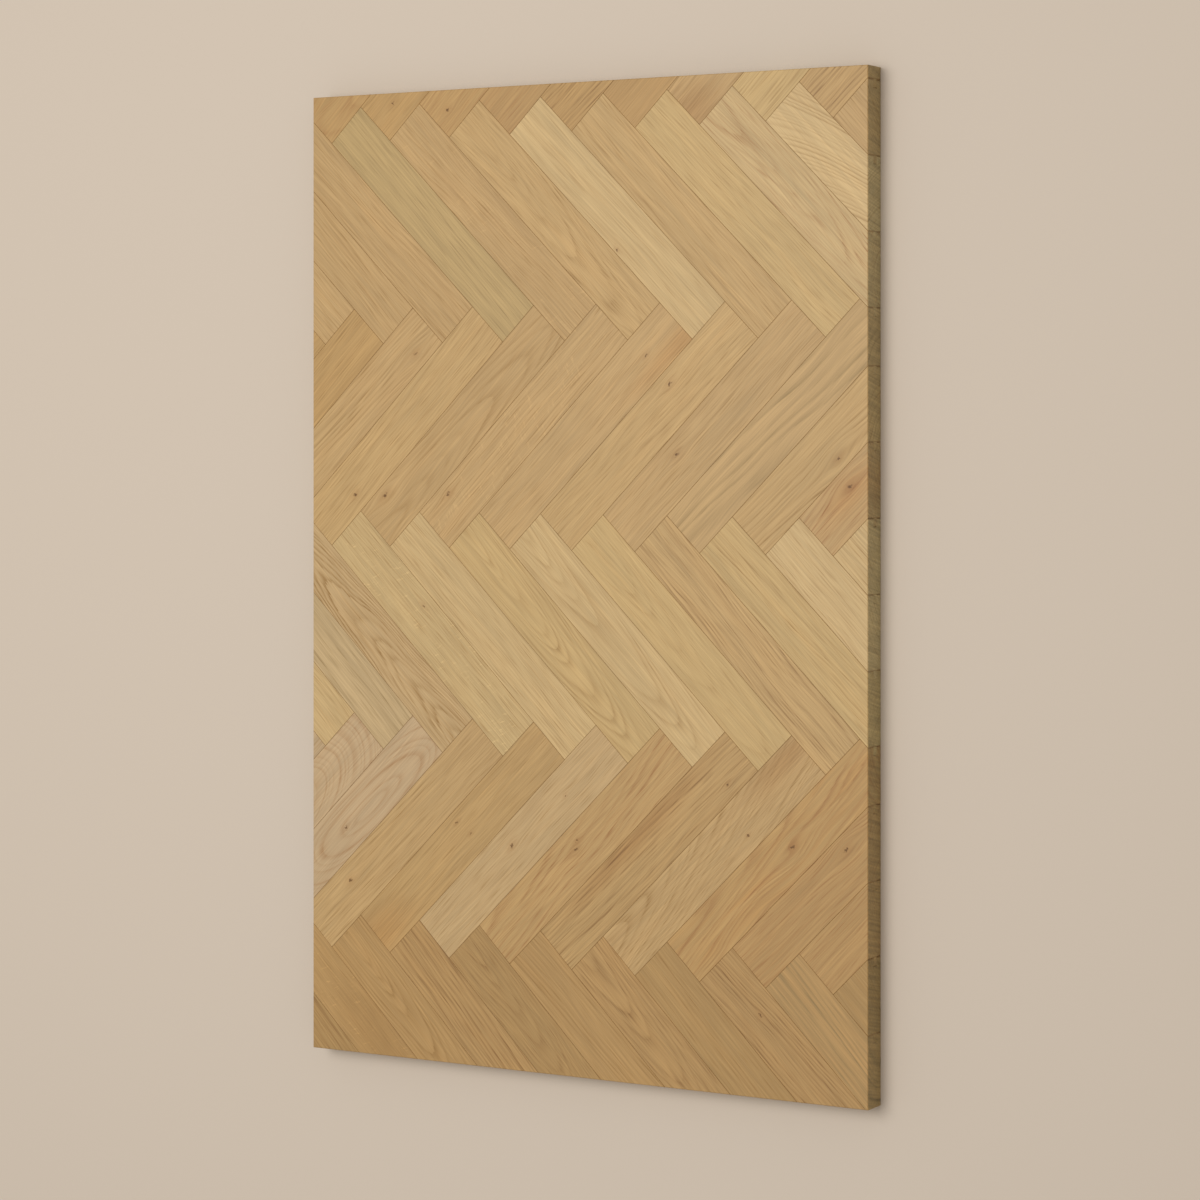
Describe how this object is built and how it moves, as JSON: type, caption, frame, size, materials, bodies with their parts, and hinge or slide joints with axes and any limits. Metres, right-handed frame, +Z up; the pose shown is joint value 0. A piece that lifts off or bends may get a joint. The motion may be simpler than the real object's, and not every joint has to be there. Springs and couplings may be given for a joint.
{
  "type": "herringbone parquet panel",
  "caption": "Rectangular panel of solid oak parquet blocks, tongued and grooved, laid in herringbone and trimmed flush on all four sides.",
  "frame": {"origin": "middle of the panel's underside, on the floor", "axes": "+X along the panel's long side, towards the end shown at the top of the picture; +Y along its short side, towards the picture's left; +Z up, out of the laid face"},
  "size_m": [0.872, 0.562, 0.025],
  "materials": {
    "oak": "satin"
  },
  "bodies": {
    "root": {"row_1_offcuts": "oak", "row_2_block_01": "oak", "row_2_block_02": "oak", "row_2_block_03": "oak", "row_2_block_04": "oak", "row_2_block_05": "oak", "row_2_block_06": "oak", "row_2_block_07": "oak", "row_2_block_08": "oak", "row_2_block_09": "oak", "row_2_block_10": "oak", "row_2_offcuts": "oak", "row_3_block_01": "oak", "row_3_block_02": "oak", "row_3_block_03": "oak", "row_3_block_04": "oak", "row_3_block_05": "oak", "row_3_block_06": "oak", "row_3_block_07": "oak", "row_3_block_08": "oak", "row_3_block_09": "oak", "row_3_block_10": "oak", "row_3_block_11": "oak", "row_3_offcuts": "oak", "row_4_block_01": "oak", "row_4_block_02": "oak", "row_4_block_03": "oak", "row_4_block_04": "oak", "row_4_block_05": "oak", "row_4_block_06": "oak", "row_4_block_07": "oak", "row_4_block_08": "oak", "row_4_block_09": "oak", "row_4_block_10": "oak", "row_4_offcuts": "oak", "row_5_block_01": "oak", "row_5_block_02": "oak", "row_5_block_03": "oak", "row_5_block_04": "oak", "row_5_block_05": "oak", "row_5_block_06": "oak", "row_5_block_07": "oak", "row_5_block_08": "oak", "row_5_block_09": "oak", "row_5_block_10": "oak", "row_5_block_11": "oak", "row_5_offcuts": "oak", "row_6_block_01": "oak", "row_6_block_02": "oak", "row_6_block_03": "oak", "row_6_block_04": "oak", "row_6_block_05": "oak", "row_6_block_06": "oak", "row_6_block_07": "oak", "row_6_block_08": "oak", "row_6_block_09": "oak", "row_6_offcuts": "oak"}
  },
  "joints": []
}
